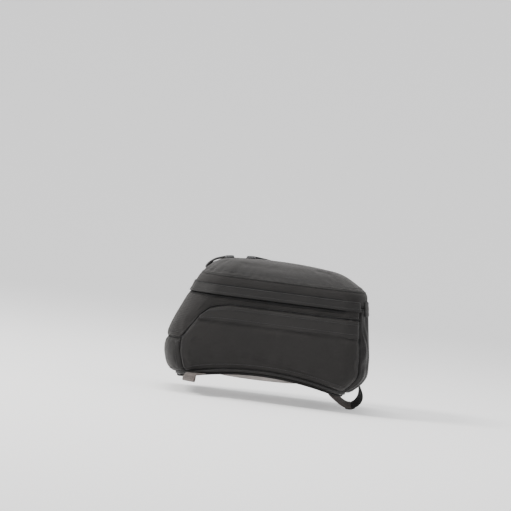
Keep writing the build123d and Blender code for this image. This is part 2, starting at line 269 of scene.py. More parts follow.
def build(name, vertices, faces, uvs=None):
    mesh = bpy.data.meshes.new(name)
    mesh.from_pydata([tuple(v) for v in np.asarray(vertices).reshape(-1, 3) * MM], [], faces)
    if uvs is not None:
        layer = mesh.uv_layers.new(name="cloth")
        layer.data.foreach_set("uv", np.asarray(uvs, float).ravel() * MM)
    mesh.polygons.foreach_set("use_smooth", [True] * len(mesh.polygons))
    obj = bpy.data.objects.new(name, mesh)
    SCENE.collection.objects.link(obj)
    return obj


def cloth_grid(name, points, closed=False, border=None):
    """A grid of points as a mesh, with UVs in metres along its rows and columns."""
    rows, cols = points.shape[:2]
    loop = np.concatenate([points, points[:, :1]], 1) if closed else points
    u = np.broadcast_to(run_lengths(loop, 1).mean(0), loop.shape[:2])
    v = np.broadcast_to(run_lengths(loop, 0).mean(1)[:, None], loop.shape[:2])
    faces, uvs = [], []
    for i in range(rows - 1):
        for j in range(loop.shape[1] - 1):
            corners = [(i, j), (i, j + 1), (i + 1, j + 1), (i + 1, j)]
            faces.append([r * cols + c % cols for r, c in corners])
            uvs += [(u[r, c], v[r, c]) for r, c in corners]
    obj = build(name, points, faces, uvs)
    # The distance from the seams is stored for the fabric, which paints shade into the seams with it and
    # lightens worn edges beside them.
    if border is not None:
        attribute = obj.data.attributes.new("seam_shade_and_wear_mm", "FLOAT", "POINT")
        attribute.data.foreach_set("value", border.ravel().astype(np.float32))
    obj["grid"] = [rows, cols]
    return obj


def grid_points(obj):
    rows, cols = obj["grid"]
    co = np.zeros(rows * cols * 3)
    obj.data.vertices.foreach_get("co", co)
    return co.reshape(rows, cols, 3) / MM


def creased(points, stretch, seed):
    """Thin slack creases that wander over the cloth, from 0 between them to -1 along them."""
    line = (1 - np.abs(noise_at(points, stretch, seed))) ** 14
    return -line * smooth(0.0, 0.35, noise_at(points, (60, 60, 45), seed + 1))


def mark(obj, distance):
    """Notes each point's distance from the nearest seam, which the fabric reads to paint shade into the seam
    and wear beside it.
    """
    obj.data.attributes["seam_shade_and_wear_mm"].data.foreach_set("value", distance.ravel().astype(np.float32))


def press(obj, depth):
    """Presses furrows into a panel after it has been puffed out. depth is negative where it goes in."""
    points = grid_points(obj)
    points += grid_normals(points) * depth(points)[..., None]
    obj.data.vertices.foreach_set("co", (points * MM).ravel())
    obj.data.update()


def grid_normals(points, closed=False):
    if closed:
        points = np.concatenate([points[:, -1:], points, points[:, :1]], 1)
    normal = unit(np.cross(np.gradient(points, axis=1), np.gradient(points, axis=0)))
    return normal[:, 1:-1] if closed else normal


def thicken(obj, thickness):
    """Gives a sheet of cloth its thickness, inwards, and softens it."""
    solid = obj.modifiers.new("thickness", "SOLIDIFY")
    solid.thickness, solid.offset = thickness * MM, -1
    soft = obj.modifiers.new("soft", "SUBSURF")
    soft.levels = soft.render_levels = 1
    return obj


def puff(obj, border, pressure, cap, slack=0.012, frames=14):
    """Inflates a panel as cloth that is held along its seams, moving no point further than cap."""
    before = grid_points(obj)
    group = obj.vertex_groups.new(name="sewn")
    group.add([int(n) for n in np.flatnonzero(border.ravel() < 1.0)], 1.0, "REPLACE")
    cloth = obj.modifiers.new("puff", "CLOTH")
    settings = {
        "quality": 6, "mass": 0.0006, "tension_stiffness": 12, "compression_stiffness": 12,
        "shear_stiffness": 4, "bending_stiffness": 0.15, "vertex_group_mass": "sewn",
        "use_pressure": True, "uniform_pressure_force": pressure, "shrink_min": -slack,
    }
    for key, value in settings.items():
        setattr(cloth.settings, key, value)
    cloth.settings.effector_weights.gravity = 0
    cloth.point_cache.frame_start, cloth.point_cache.frame_end = 1, frames
    for number in range(1, frames + 1):
        SCENE.frame_set(number)
    evaluated = obj.evaluated_get(bpy.context.evaluated_depsgraph_get())
    after = np.zeros(before.size)
    evaluated.data.vertices.foreach_get("co", after)
    move = after.reshape(before.shape) / MM - before
    size = np.linalg.norm(move, axis=-1, keepdims=True)
    move *= cap * np.tanh(size / cap) / np.maximum(size, 1e-6)
    obj.modifiers.remove(cloth)
    obj.vertex_groups.remove(group)
    SCENE.frame_set(1)
    obj.data.vertices.foreach_set("co", ((before + move) * MM).ravel())
    obj.data.update()
    return obj


def panel(name, levels, places, low, high, cells, crown=1.6, tuck=1.8, out=0.0, closed=False, shape=None):
    """A padded panel of the bag's outside between two seams, rolled in along its edges."""
    cols, rows = cells
    t = all_round(cols) if closed else lerp(*places, rows_between(cols, 0.3))
    z = lerp(low(t)[None, :], high(t)[None, :], rows_between(rows)[:, None])
    base, normal = skin(levels, t, z)
    border = from_edges(base, closed)
    height = out + crown * (1 - np.exp(-border / 9)) - tuck * np.exp(-((border / 2.4) ** 2))
    wave = np.sin(run_lengths(base, 1) * 2 * math.pi / 11 + 3 * noise_at(base, (40, 40, 40), 2))
    height += 0.22 * wave * np.exp(-border / 6) * smooth(0, 3, border)
    if shape is not None:
        height += shape(base, border)
    # border goes to the fabric too, which paints shade along the panel's seams.
    obj = cloth_grid(name, base + normal * height[..., None], closed, border)
    return obj, border


def level_line(height):
    return lambda t: np.full(np.shape(t), float(height))


def shifted(height, by):
    return lambda t: height(t) + by


def faces_between(first, second, sides):
    """The faces between two rings of points, given each ring's first point."""
    turn = [(k, (k + 1) % sides) for k in range(sides)]
    return [[first + k, first + m, second + m, second + k] for k, m in turn]


def sweep(name, rings, spans, runs, caps, closed=False):
    """A skin over rings of points. spans are the ends of each side, and caps the corners, in the UVs."""
    count, sides = rings.shape[:2]
    faces, uvs = [], []
    for i in range(count if closed else count - 1):
        faces += faces_between(i * sides, (i + 1) % count * sides, sides)
        for a, b in spans:
            uvs += [(a, runs[i]), (b, runs[i]), (b, runs[i + 1]), (a, runs[i + 1])]
    if not closed:
        last = (count - 1) * sides
        faces += [[*range(sides)][::-1], [*range(last, last + sides)]]
        uvs += [*caps[::-1], *caps]
    return build(name, rings, faces, uvs)


def strap_frame(path, across, twist=None):
    """The directions across a strap's width and out of its flat side, at each point of its path."""
    ahead = unit(np.gradient(path, axis=0))
    wide = np.broadcast_to(np.asarray(across, float), path.shape)
    wide = unit(wide - ahead * (wide * ahead).sum(1, keepdims=True))
    if twist is not None:
        angle = np.asarray(twist, float)[:, None]
        wide = wide * np.cos(angle) + np.cross(ahead, wide) * np.sin(angle)
    return wide, np.cross(ahead, wide)


def ribbon(name, path, across, width, thickness, twist=None):
    """A flat strap along a path, with rounded edges. across is the direction of its width."""
    path = np.asarray(path, float)
    wide, thick = strap_frame(path, across, twist)
    half_w, half_t = width / 2, thickness / 2
    inner, rounded, underside_gap = half_w - half_t * 0.8, half_t * 0.4, 200
    section = [
        (-inner, half_t), (0, half_t), (inner, half_t), (half_w, rounded), (half_w, -rounded),
        (inner, -half_t), (0, -half_t), (-inner, -half_t), (-half_w, -rounded), (-half_w, rounded),
    ]
    rings = np.stack([path + wide * a + thick * b for a, b in section], 1)
    spans = []
    for j, (a, _) in enumerate(section):
        shift = underside_gap if j > 4 else 0
        spans.append((a + shift, section[(j + 1) % len(section)][0] + shift))
    return sweep(name, rings, spans, run_lengths(path), section)


def tube(name, path, radius, closed=False, sides=8):
    """A round cord or welt along a path."""
    path = np.asarray(path, float)
    padded = np.concatenate([path[-1:], path, path[:1]]) if closed else path
    tangent = np.gradient(padded, axis=0)
    tangent = unit(tangent[1:-1] if closed else tangent)
    side = unit(np.cross(tangent, (0, 0, 1.0)))
    up = np.cross(side, tangent)
    angles = full_turn(sides)
    rings = np.stack([path + (side * math.cos(a) + up * math.sin(a)) * radius for a in angles], 1)
    around = 2 * math.pi * radius / sides
    spans = [(k * around, (k + 1) * around) for k in range(sides)]
    runs = run_lengths(np.concatenate([path, path[:1]]))
    return sweep(name, rings, spans, runs, [(0, 0)] * sides, closed)


def even(path, step):
    """The same path with points an even step apart."""
    path = np.asarray(path, float)
    runs = run_lengths(path)
    return points_at(np.linspace(0, runs[-1], max(2, int(runs[-1] / step) + 1)), runs, path)


def curve(points, count):
    """A smooth open curve near the given corner points, a chain of quadratic arcs."""
    points = np.asarray(points, float)
    middles = (points[1:] + points[:-1]) / 2
    pieces = [points[:1]]
    for k in range(1, len(points) - 1):
        start = points[0] if k == 1 else middles[k - 1]
        end = points[-1] if k == len(points) - 2 else middles[k]
        f = np.linspace(0, 1, count)[1:, None]
        pieces.append((1 - f) ** 2 * start + 2 * f * (1 - f) * points[k] + f**2 * end)
    return np.concatenate(pieces)


# A stitch is four rings of thread: place along it, share of the thread's radius, and lift in radii
STITCH_RINGS = ((-0.5, 0.35, -0.25), (-0.3, 1, 0.1), (0.3, 1, 0.1), (0.5, 0.35, -0.25))


def stitches(name, rows, pitch=3.4, length=2.5, radius=0.34, upright=False):
    """Thread stitches along rows of (points, normals), each a small capsule half sunk in the cloth."""
    verts, faces = [], []
    sides = 5
    turn = full_turn(sides)
    for points, normals in rows:
        runs = run_lengths(np.asarray(points))
        at = np.arange(pitch / 2, runs[-1], pitch)
        place = points_at(at, runs, points)
        ahead = unit(points_at(at + 0.5, runs, points) - place)
        out = unit(points_at(at, runs, normals))
        for p, t, n in zip(place, ahead, out):
            s = np.cross(t, n)
            if upright:
                t, s = s, t
            first = len(verts)
            for along, size, lift in STITCH_RINGS:
                middle = p + t * along * length + n * lift * radius
                verts += [middle + (s * math.cos(a) + n * math.sin(a)) * radius * size for a in turn]
            last = first + 3 * sides
            for ring in range(first, last, sides):
                faces += faces_between(ring, ring + sides, sides)
            faces += [[*range(first, first + sides)][::-1], [*range(last, last + sides)]]
    return build(name, verts, faces)


def seam_row(obj, row, closed=False):
    """A row of the panel's own grid and its normals, for stitches. Rows count from the bottom."""
    points = grid_points(obj)
    out = grid_normals(points, closed)[row]
    line = points[row] + out * STITCH_LIFT
    return (np.concatenate([line, line[:1]]), np.concatenate([out, out[:1]])) if closed else (line, out)


def seam_column(obj, column):
    points = grid_points(obj)
    out = grid_normals(points)[:, column]
    return points[:, column] + out * STITCH_LIFT, out


def hems(obj):
    """Lines for stitches along all four edges of a panel."""
    return [seam_row(obj, 4), seam_row(obj, -5), seam_column(obj, 4), seam_column(obj, -5)]


# ---- materials ----

class Nodes:
    """A short way to make and join shader nodes."""

    def __init__(self, name):
        self.material = bpy.data.materials.new(name)
        self.material.use_nodes = True
        self.tree = self.material.node_tree
        self.shader = self.tree.nodes["Principled BSDF"]

    def add(self, kind, values=None, **settings):
        node = self.tree.nodes.new(kind)
        for key, value in settings.items():
            setattr(node, key, value)
        for key, value in (values or {}).items():
            self.put(node.inputs[key], value)
        return node

    def put(self, socket, value):
        if isinstance(value, bpy.types.NodeSocket):
            self.tree.links.new(value, socket)
        else:
            socket.default_value = value

    def math(self, operation, a, b):
        return self.add("ShaderNodeMath", {0: a, 1: b}, operation=operation).outputs[0]

    def ramp(self, value, stops):
        node = self.add("ShaderNodeValToRGB", {"Fac": value})
        elements = node.color_ramp.elements
        while len(elements) < len(stops):
            elements.new(0.5)
        for element, (place, grey) in zip(elements, stops):
            element.position = place
            element.color = (grey, grey, grey, 1)
        return node.outputs["Color"]

    def scale(self, value, low, high, start=0.0, end=1.0):
        """Reads a value that runs from start to end as one that runs from low to high."""
        limits = {"From Min": start, "From Max": end, "To Min": low, "To Max": high}
        return self.add("ShaderNodeMapRange", {"Value": value, **limits}).outputs["Result"]

    def product(self, value, *others):
        for other in others:
            value = self.math("MULTIPLY", value, other)
        return value

    def where(self, kind):
        return self.add("ShaderNodeTexCoord").outputs[kind]

    def noise(self, where, scale, detail):
        node = self.add("ShaderNodeTexNoise", {"Vector": where, "Scale": scale, "Detail": detail})
        return node.outputs["Fac"]

    def surface(self, values, colour=None, tone=None, relief=None, strength=0.0, distance=0.0):
        """Puts the shader's values, its colour times a tone, and its relief in place."""
        for key, value in values.items():
            self.put(self.shader.inputs[key], value)
        if colour is not None:
            grey = self.add("ShaderNodeCombineColor", {"Red": tone, "Green": tone, "Blue": tone}).outputs[0]
            factors = {0: 1.0, 6: (*colour, 1.0), 7: grey}
            tinted = self.add("ShaderNodeMix", factors, data_type="RGBA", blend_type="MULTIPLY").outputs[2]
            self.put(self.shader.inputs["Base Color"], tinted)
        if relief is not None:
            bump = self.add("ShaderNodeBump", {"Height": relief, "Strength": strength, "Distance": distance})
            self.put(self.shader.inputs["Normal"], bump.outputs["Normal"])
        return self.material


def wave_pair(n, where, pitch):
    """Two crossed sets of threads, as two values from 0 to 1."""
    scale = 2 * math.pi / 20 / (pitch * MM)
    return [
        n.add("ShaderNodeTexWave", {"Vector": where, "Scale": scale}, bands_direction=axis).outputs["Fac"]
        for axis in "XY"
    ]


def fabric(name, colour, pitch, sheen, roughness, weave=0.5, wear=0.5, painted_groove_shade=0.4, fuzz=0.6, mottle=0.24):
    """Woven cloth: crossed threads, faded patches, broad blotches of painted reflection, painted shade along
    the seams, and lighter, worn edges beside them.
    """
    n = Nodes(name)
    uv, own = n.where("UV"), n.where("Object")
    threads = n.product(*wave_pair(n, uv, pitch))
    # broad is painted reflection: its wide light and dark blotches stand in for the uneven reflections across
    # the panels.
    patches, broad = n.noise(own, 22.0, 5.0), n.noise(own, 8.0, 2.0)
    grain, slubs = n.noise(own, 900.0, 3.0), n.noise(uv, 260.0, 2.0)
    seam = n.add("ShaderNodeAttribute", attribute_name="seam_shade_and_wear_mm").outputs["Fac"]
    near = n.scale(seam, 1.0, 0.0, 2.6, 10.0)
    rub = n.product(near, n.ramp(patches, [(0.42, 0.0), (0.66, 1.0)]), wear)
    # The seam term is painted shade: it darkens the cloth towards each seam, where the groove lies in shade.
    # rub is wear on the edges beside the seams.
    tone = n.product(
        n.scale(patches, 1 - mottle, 1 + mottle), n.scale(broad, 1 - 1.6 * mottle, 1 + 1.6 * mottle),
        n.scale(threads, 0.75, 1.3), n.scale(slubs, 0.86, 1.14), n.scale(seam, painted_groove_shade, 1.0, 0.4, 3.2),
        n.math("ADD", rub, 1.0),
    )
    rough = n.math("ADD", n.scale(grain, -0.06, 0.06), n.scale(patches, roughness - 0.07, roughness + 0.07))
    values = {
        "Roughness": rough, "Sheen Weight": sheen, "Sheen Roughness": 0.45,
        "Sheen Tint": (0.95, 0.92, 0.9, 1), "Specular IOR Level": 0.24,
    }
    return n.surface(values, colour, tone, n.math("ADD", threads, n.product(grain, fuzz)), weave, 0.0009)


def webbing(name, colour, rib=1.7, sheen=0.3):
    """Narrow-woven strap: ribs across it, fine threads along it, frayed lighter spots."""
    n = Nodes(name)
    uv = n.where("UV")
    across, along = wave_pair(n, uv, rib)
    fine, _ = wave_pair(n, uv, rib / 3)
    threads = n.product(n.math("ADD", n.product(along, 0.7), 0.3), n.scale(fine, 0.6, 1.0))
    patches = n.noise(uv, 60.0, 4.0)
    tone = n.product(n.scale(threads, 0.65, 1.3), n.scale(patches, 0.75, 1.25))
    values = {"Roughness": n.scale(patches, 0.68, 0.86), "Sheen Weight": sheen}
    return n.surface(values, colour, tone, n.math("ADD", threads, n.product(across, 0.2)), 0.6, 0.0008)


def plastic(name, colour, roughness, grain=900.0, strength=0.18, metallic=0.0, scuffs=0.4):
    """Moulded or painted parts: fine surface grain, uneven gloss and pale scuffs on corners."""
    n = Nodes(name)
    own = n.where("Object")
    broad = n.noise(own, 35.0, 6.0)
    edge = n.ramp(n.add("ShaderNodeNewGeometry").outputs["Pointiness"], [(0.5, 0.0), (0.58, 1.0)])
    rub = n.product(edge, n.ramp(broad, [(0.4, 0.0), (0.7, 1.0)]), scuffs)
    tone = n.math("ADD", n.scale(broad, 0.85, 1.15), rub)
    values = {"Roughness": n.scale(broad, roughness - 0.1, roughness + 0.1), "Metallic": metallic}
    return n.surface(values, colour, tone, n.noise(own, grain, 2.0), strength, 0.0003)


WOVEN = fabric("woven_fabric", (0.0108, 0.0098, 0.0095), 1.5, 0.12, 0.72)
# The lid's top and its shoulder piping get a lighter copy of the woven fabric: painted light, for the top
# taking more light from above.
PAINTED_LIT_LID_WOVEN = fabric("lid_fabric_painted_lit", (0.0165, 0.0158, 0.0155), 1.5, 0.16, 0.62, painted_groove_shade=0.7)
MOULDED = fabric("moulded_fabric", (0.0100, 0.0092, 0.0089), 1.1, 0.12, 0.62, weave=0.3)
FLAP_CLOTH = fabric("flap_fabric", (0.0084, 0.0078, 0.0076), 0.9, 0.1, 0.56, weave=0.25)
RUBBERISED = fabric(
    "rubberised_fabric", (0.0056, 0.0048, 0.0047), 1.2, 0.05, 0.4, weave=0.3, wear=0.9, fuzz=0.3
)
LINING = fabric("lining_cloth", (0.12, 0.122, 0.126), 1.2, 0.15, 0.78, wear=0.1, painted_groove_shade=0.6, mottle=0.07)
TAPE_CLOTH = fabric("zip_tape", (0.0085, 0.0085, 0.009), 0.6, 0.06, 0.8)
# A painted highlight: black webbing painted grey, as if its flat side caught the light bounced up from the
# floor.
PAINTED_HIGHLIGHT_WEBBING = webbing("grey_webbing", (0.095, 0.079, 0.072), sheen=0.15)
BLACK_WEBBING = webbing("black_webbing", (0.011, 0.011, 0.0115), sheen=0.1)
THREAD = webbing("thread", (0.022, 0.022, 0.023), rib=0.6, sheen=0.1)
RUBBER = plastic("handle_rubber", (0.02, 0.02, 0.021), 0.5, grain=600, strength=0.3)
RING_PLASTIC = plastic("ring_plastic", (0.30, 0.275, 0.265), 0.42)
BLACK_PLASTIC = plastic("black_plastic", (0.02, 0.02, 0.021), 0.5)
STEEL = plastic("steel", (0.55, 0.55, 0.56), 0.32, strength=0.05, metallic=1.0, scuffs=0.1)
ZIP_METAL = plastic("zip_metal", (0.03, 0.03, 0.032), 0.35, strength=0.08, metallic=0.6)


def dress(obj, material, body, slot, *nodes, fill=None):
    """Gives a piece its material and body and hides the CAD nodes that it stands for; slot is not used."""
    obj.data.materials.clear()
    obj.data.materials.append(material)
    if body is not None:
        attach(obj, body)
    if nodes:
        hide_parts(*nodes)
    return obj


def sew(name, rows, body, slot, **size):
    """Rows of thread stitches as one piece."""
    dress(stitches(name, rows, **size), THREAD, body, slot)


# ---- body panels ----

def crease(base, start, end, depth, width):
    """A soft furrow along a line given in X and Z, with a low ridge above it."""
    (x0, z0), (x1, z1) = start, end
    dx, dz = x1 - x0, z1 - z0
    along = np.clip(((base[..., 0] - x0) * dx + (base[..., 2] - z0) * dz) / (dx**2 + dz**2), 0, 1)
    gap = base[..., 2] - lerp(z0, z1, along)
    reach = np.hypot(base[..., 0] - lerp(x0, x1, along), gap)
    ridge = 0.5 * np.exp(-(((reach - 2 * width) / width) ** 2)) * (gap > 0)
    return depth * (ridge - np.exp(-((reach / width) ** 2)))


def uneven(base, border, strength, stretch, seed, fade=(4, 16)):
    """Broad unevenness that fades out towards the seams."""
    return strength * noise_at(base, stretch, seed) * smooth(*fade, border)


def side_furrows(points):
    """Slack creases, and the dip that the fin's lower edge is sewn into."""
    dip = np.exp(-(((points[..., 2] - FIN_STEP + 0.6) / 1.5) ** 2)) * smooth(-96, -90, points[..., 0])
    furrows = sum(crease(points, *row) for row in SIDE_CREASES)
    return furrows - 1.5 * dip + 0.9 * creased(points, (55, 40, 26), 91)


def hand(side):
    return "right" if side > 0 else "left"


def side_panel(side):
    name = f"side_{hand(side)}"
    obj, border = panel(
        name, TUB, sorted((BUMPER_END * side, FRONT_SEAM * side)), gusset_height, swoop_height, (84, 34),
        crown=1.4, shape=lambda base, border: uneven(base, border, 0.9, (70, 70, 30), 4),
    )
    puff(obj, border, 3.0, 1.6)
    press(obj, side_furrows)
    points = grid_points(obj)
    # The fin's lower edge is marked as a seam, so the fabric paints a dark line of shade along the step under
    # the fin.
    step = np.abs(points[..., 2] - FIN_STEP + 0.4) + 40 * (1 - smooth(-98, -93, points[..., 0]))
    mark(obj, np.minimum(border, step))
    sew(f"{name}_stitches", hems(obj), "bag", "woven_fabric")
    dress(thicken(obj, PANEL_PLY), WOVEN, "bag", "woven_fabric", f"side_panel_{hand(side)}", fill=0.8)


def side_fin(side):
    """The moulded panel that stands proud over the upper half of the side."""
    t = lerp(*sorted((1.88 * side, 3.42 * side)), rows_between(84, 0.3))
    top = np.minimum(swoop_height(t) - 1.8, FIN_TOP - 2)
    low = np.minimum(FIN_STEP + 0.4, top - 1.5)
    z = lerp(low[None, :], top[None, :], rows_between(14)[:, None])
    base, normal = skin(TUB, t, z)
    border = from_edges(base)
    fade = lerp(1.0, 0.45, smooth(80, 140, base[..., 0]))
    height = 1.6 + 2.4 * fade * (1 - np.exp(-((border / 1.6) ** 1.4)))
    height += 0.35 * noise_at(base, (60, 60, 25), 8)
    # The fin's edges are marked as seams, so the fabric paints shade along them.
    obj = cloth_grid(f"fin_{hand(side)}", base + normal * height[..., None], border=border + 0.4)
    sew(f"fin_{hand(side)}_stitches", [seam_row(obj, 4), seam_row(obj, -5)], "bag", "moulded_fabric")
    dress(thicken(obj, 2.6), MOULDED, "bag", "moulded_fabric", f"side_fin_{hand(side)}", fill=0.9)


def rear_wrap():
    """The panel that runs along both sides above the fins and comes down over the rear."""
    def shape(base, border):
        return uneven(base, border, 0.8, (50, 60, 40), 5) + smooth(-95, -125, base[..., 0]) * 1.2

    high = by_front(WALL_TOP + 0.4, FRONT_TOP + 0.2)
    obj, border = panel(
        "rear_wrap", TUB, (-FRONT_SEAM, FRONT_SEAM), swoop_height, high, (190, 22), crown=1.2, shape=shape
    )
    puff(obj, border, 3.0, 1.6)
    press(obj, lambda points: 0.8 * creased(points, (40, 50, 30), 94))
    sew("rear_wrap_stitches", [seam_row(obj, 4)], "bag", "woven_fabric")
    dress(thicken(obj, PANEL_PLY), WOVEN, "bag", "woven_fabric", "rear_panel", fill=0.7)


def bumper():
    obj, border = panel(
        "rear_bumper_pad", TUB, (-BUMPER_END, BUMPER_END), gusset_height, level_line(BUMPER_SEAM), (80, 24),
        crown=2.2, shape=lambda base, border: uneven(base, border, 0.5, (50, 50, 25), 6, (4, 14)),
    )
    puff(obj, border, 3.0, 1.2)
    press(obj, lambda points: 0.7 * creased(points, (30, 45, 20), 96))
    sew("bumper_stitches", hems(obj), "bag", "moulded_fabric")
    dress(thicken(obj, PANEL_PLY), MOULDED, "bag", "moulded_fabric", "rear_bumper", fill=0.8)


def front():
    """The rubberised front panel, with upright wrinkles by its side seams."""
    def shape(base, border):
        near = smooth(60, 96, np.abs(base[..., 1]))
        folds = np.sin(base[..., 1] * 0.62 + 2.2 * noise_at(base, (60, 60, 45), 11))
        wrinkles = 0.9 * folds * near * smooth(3, 10, border)
        return wrinkles + uneven(base, border, 1.1, (30, 22, 60), 12, (3, 14))

    obj, border = panel(
        "front_pad", TUB, (FRONT_SEAM, 10 - FRONT_SEAM), gusset_height, level_line(FRONT_TOP + 0.2), (70, 44),
        crown=1.2, shape=shape,
    )
    puff(obj, border, 2.5, 1.8, slack=0.02)
    rows = [seam_column(obj, 4), seam_column(obj, -5), seam_row(obj, 4)]
    sew("front_stitches", rows, "bag", "rubberised_fabric")
    dress(thicken(obj, 3.0), RUBBERISED, "bag", "rubberised_fabric", "front_panel", fill=0.6)


def gusset():
    """The narrow rubberised band under the arch, all round the base."""
    obj, _ = panel(
        "base_gusset", TUB, None, shifted(base_height, 0.2), shifted(gusset_height, -0.2), (220, 9),
        crown=1.0, tuck=1.4, out=0.4, closed=True,
    )
    sew("gusset_stitches", [seam_row(obj, 6, closed=True)], "bag", "rubberised_fabric")
    dress(thicken(obj, 2.4), RUBBERISED, "bag", "rubberised_fabric", "bottom_gusset", fill=0.5)


def closed_line(levels, heights, out):
    points, normals = skin(levels, ROUND, heights(ROUND))
    return points + normals * out


def seam_welts():
    """Cords sunk in the grooves between the lower panels, so that no light comes through the seams."""
    def welt(name, path, closed=False):
        dress(tube(f"welt_{name}", path, WELT_RADIUS, closed), TAPE_CLOTH, "bag", "zip_tape")

    welt("gusset", closed_line(TUB, gusset_height, -WELT_DEPTH), True)
    for name, place, top in (("rear", BUMPER_END, BUMPER_SEAM), ("front", FRONT_SEAM, 100)):
        for side in (1, -1):
            t = np.full(30, place * side)
            points, normals = skin(TUB, t, np.linspace(gusset_height(t[:1])[0], top, 30))
            welt(f"{name}_{hand(side)}", points - normals * WELT_DEPTH)


def base_pad():
    """The arched underside, a quilted pad with a round opening for the ring."""
    t = all_round(180)
    x, y = outline(TUB, t, base_height(t))[:2]
    reach = np.hypot(x, y)
    f = rows_between(40, 0.8)[:, None]
    px, py = (lerp(RING_OPENING * c / reach, c - 0.6 * c / reach, f) for c in (x, y))
    flat = np.stack([px, py, underside(px, py)], -1)
    border = from_edges(flat, closed=True)
    quilt = np.minimum(np.abs(np.mod(px + py, 44) - 22), np.abs(np.mod(px - py, 44) - 22)) * 0.7
    puffed = 1.6 * (1 - np.exp(-border / 7)) * (1 - 0.75 * np.exp(-((quilt / 2.2) ** 2)))
    height = puffed - 1.6 * np.exp(-((border / 2.2) ** 2)) + 0.3 * noise_at(flat, (30, 30, 30), 21)
    points = flat - np.array([0, 0, 1.0]) * height[..., None]
    # The quilting lines are marked as seams, so the fabric paints shade into their channels and along the
    # pad's edge.
    obj = cloth_grid("base_pad", points, True, np.minimum(border, quilt + 0.8))
    puff(obj, border, 2.0, 0.8)
    rows = [seam_row(obj, 5, closed=True), seam_row(obj, -6, closed=True)]
    sew("base_stitches", rows, "bag", "rubberised_fabric")
    dress(thicken(obj, 3.0), RUBBERISED, "bag", "rubberised_fabric", "bottom_pad", fill=0.6)
    ring_x, ring_y = RING_OPENING * np.cos(full_turn()), RING_OPENING * np.sin(full_turn())
    ring = np.stack([ring_x, ring_y, underside(ring_x, ring_y) + 0.4], -1)
    piping = closed_line(TUB, base_height, 0.3)
    for name, path, radius in (("ring_welt", ring, 1.5), ("base_piping", piping, 1.3)):
        dress(tube(name, path, radius, closed=True), TAPE_CLOTH, "bag", "rubberised_fabric")


def rim(name, levels, profile, material, body, slot):
    """A closed band round the bag, given as rows of (offset from the outside, height)."""
    rows = []
    for out, z in profile:
        points, normals = skin(levels, ROUND, z)
        rows.append(points + normals * out)
    obj = cloth_grid(name, np.array(rows), True)
    dress(thicken(obj, LINING_PLY), material, body, slot)


def tub_rim():
    z = by_front(WALL_TOP, FRONT_TOP)(ROUND)
    profile = [
        (0.2, z - 3.2), (0.9, z - 1.2), (0.3, z + 0.5), (-1.6, z + 0.8), (-3.6, z + 0.8), (-5.8, z + 0.6),
        (-6.6, z - 1), (-6.6, z - 4),
    ]
    rim("tub_binding", TUB, profile, TAPE_CLOTH, "bag", "zip_tape")


def lid_rim():
    z = by_front(132.2, 125.8)(ROUND)
    profile = [
        (-6.4, z + 4), (-6.4, z + 1), (-5.6, z - 0.4), (-3.4, z - 0.5), (-1.4, z - 0.4), (0.2, z + 0.3),
        (0.6, z + 1.6), (0.1, z + 3.2),
    ]
    rim("lid_binding", LID, profile, TAPE_CLOTH, "lid", "zip_tape")


def compartment():
    """The grey lining of the main compartment: its wall and its floor."""
    t = all_round(200)
    top = by_front(WALL_TOP, FRONT_TOP)(t)[None, :]
    z = lerp(LINING_FLOOR, top - 1.0, rows_between(26, 0.5)[::-1][:, None])
    base, normal = skin(TUB, t, z)
    level = unit(normal * np.array([1, 1, 0]))
    inset = LINING_INSET + 0.5 * noise_at(base, (40, 40, 60), 31)
    inset += 1.6 * np.exp(-(((z - LINING_FLOOR) / 4) ** 2))
    # depth marks the lining wall's foot and top, where the fabric paints shade into the corner with the floor
    # and under the rim.
    depth = np.minimum(z - LINING_FLOOR, top - z)
    wall = cloth_grid("lining_wall", base - level * inset[..., None], True, depth)
    dress(thicken(wall, LINING_PLY), LINING, "bag", "lining", "body_lining")
    t = all_round(120)
    x, y = outline(TUB, t, 21.0)[:2]
    reach = np.hypot(x, y)
    f = np.concatenate([[0.0], rows_between(22, 0.4)[1:]])[:, None] * 0.98 + 0.02
    px, py = (c * (reach - 5.6) / reach * f for c in (x, y))
    edge = (reach - 5.6) * (1 - f)
    rise = 21.4 + 0.9 * (1 - np.exp(-edge / 8))
    rise += 0.35 * noise_at(np.stack([px, py, np.zeros(px.shape)], -1), (50, 50, 50), 32)
    # edge marks the floor's rim, where the fabric paints shade into the corner with the wall.
    floor = cloth_grid("lining_floor", np.stack([px, py, rise], -1)[::-1], True, edge[::-1])
    dress(thicken(floor, LINING_PLY), LINING, "bag", "lining")


# ---- lid ----

def at_shoulder(t):
    """X and Y of the shoulder seam at the given places."""
    return outline(LID, t, SHOULDER)[:2]


def shoulder_line():
    x, y = at_shoulder(all_round(720))
    angle = np.arctan2(y, x - APEX_X)
    order = np.argsort(angle)
    return angle[order], np.hypot(x - APEX_X, y)[order]


SHOULDER_ANGLES, SHOULDER_REACH = shoulder_line()


def crown_share(x, y, inset=0.0):
    """How far out from the apex to the shoulder a point is, 0 to 1, and its direction."""
    angle = np.arctan2(y, x - APEX_X)
    edge = np.interp(angle, SHOULDER_ANGLES, SHOULDER_REACH, period=2 * math.pi) - inset
    return np.hypot(x - APEX_X, y) / edge, angle, edge


def crown_height(x, y, inset=0.0):
    r, angle, _ = crown_share(np.asarray(x, float), np.asarray(y, float), inset)
    square = np.clip(r, 0, 1) ** 2
    rear, side, front = (hermite(table, square)[..., 0] for table in (CROWN_REAR, CROWN_SIDE, CROWN_FRONT))
    level = np.cos(angle)
    share = side * (1 - level**2) + np.where(level < 0, rear, front) * level**2
    return SHOULDER + CROWN_HEIGHT * share - 60 * np.clip(r - 1, 0, 1)


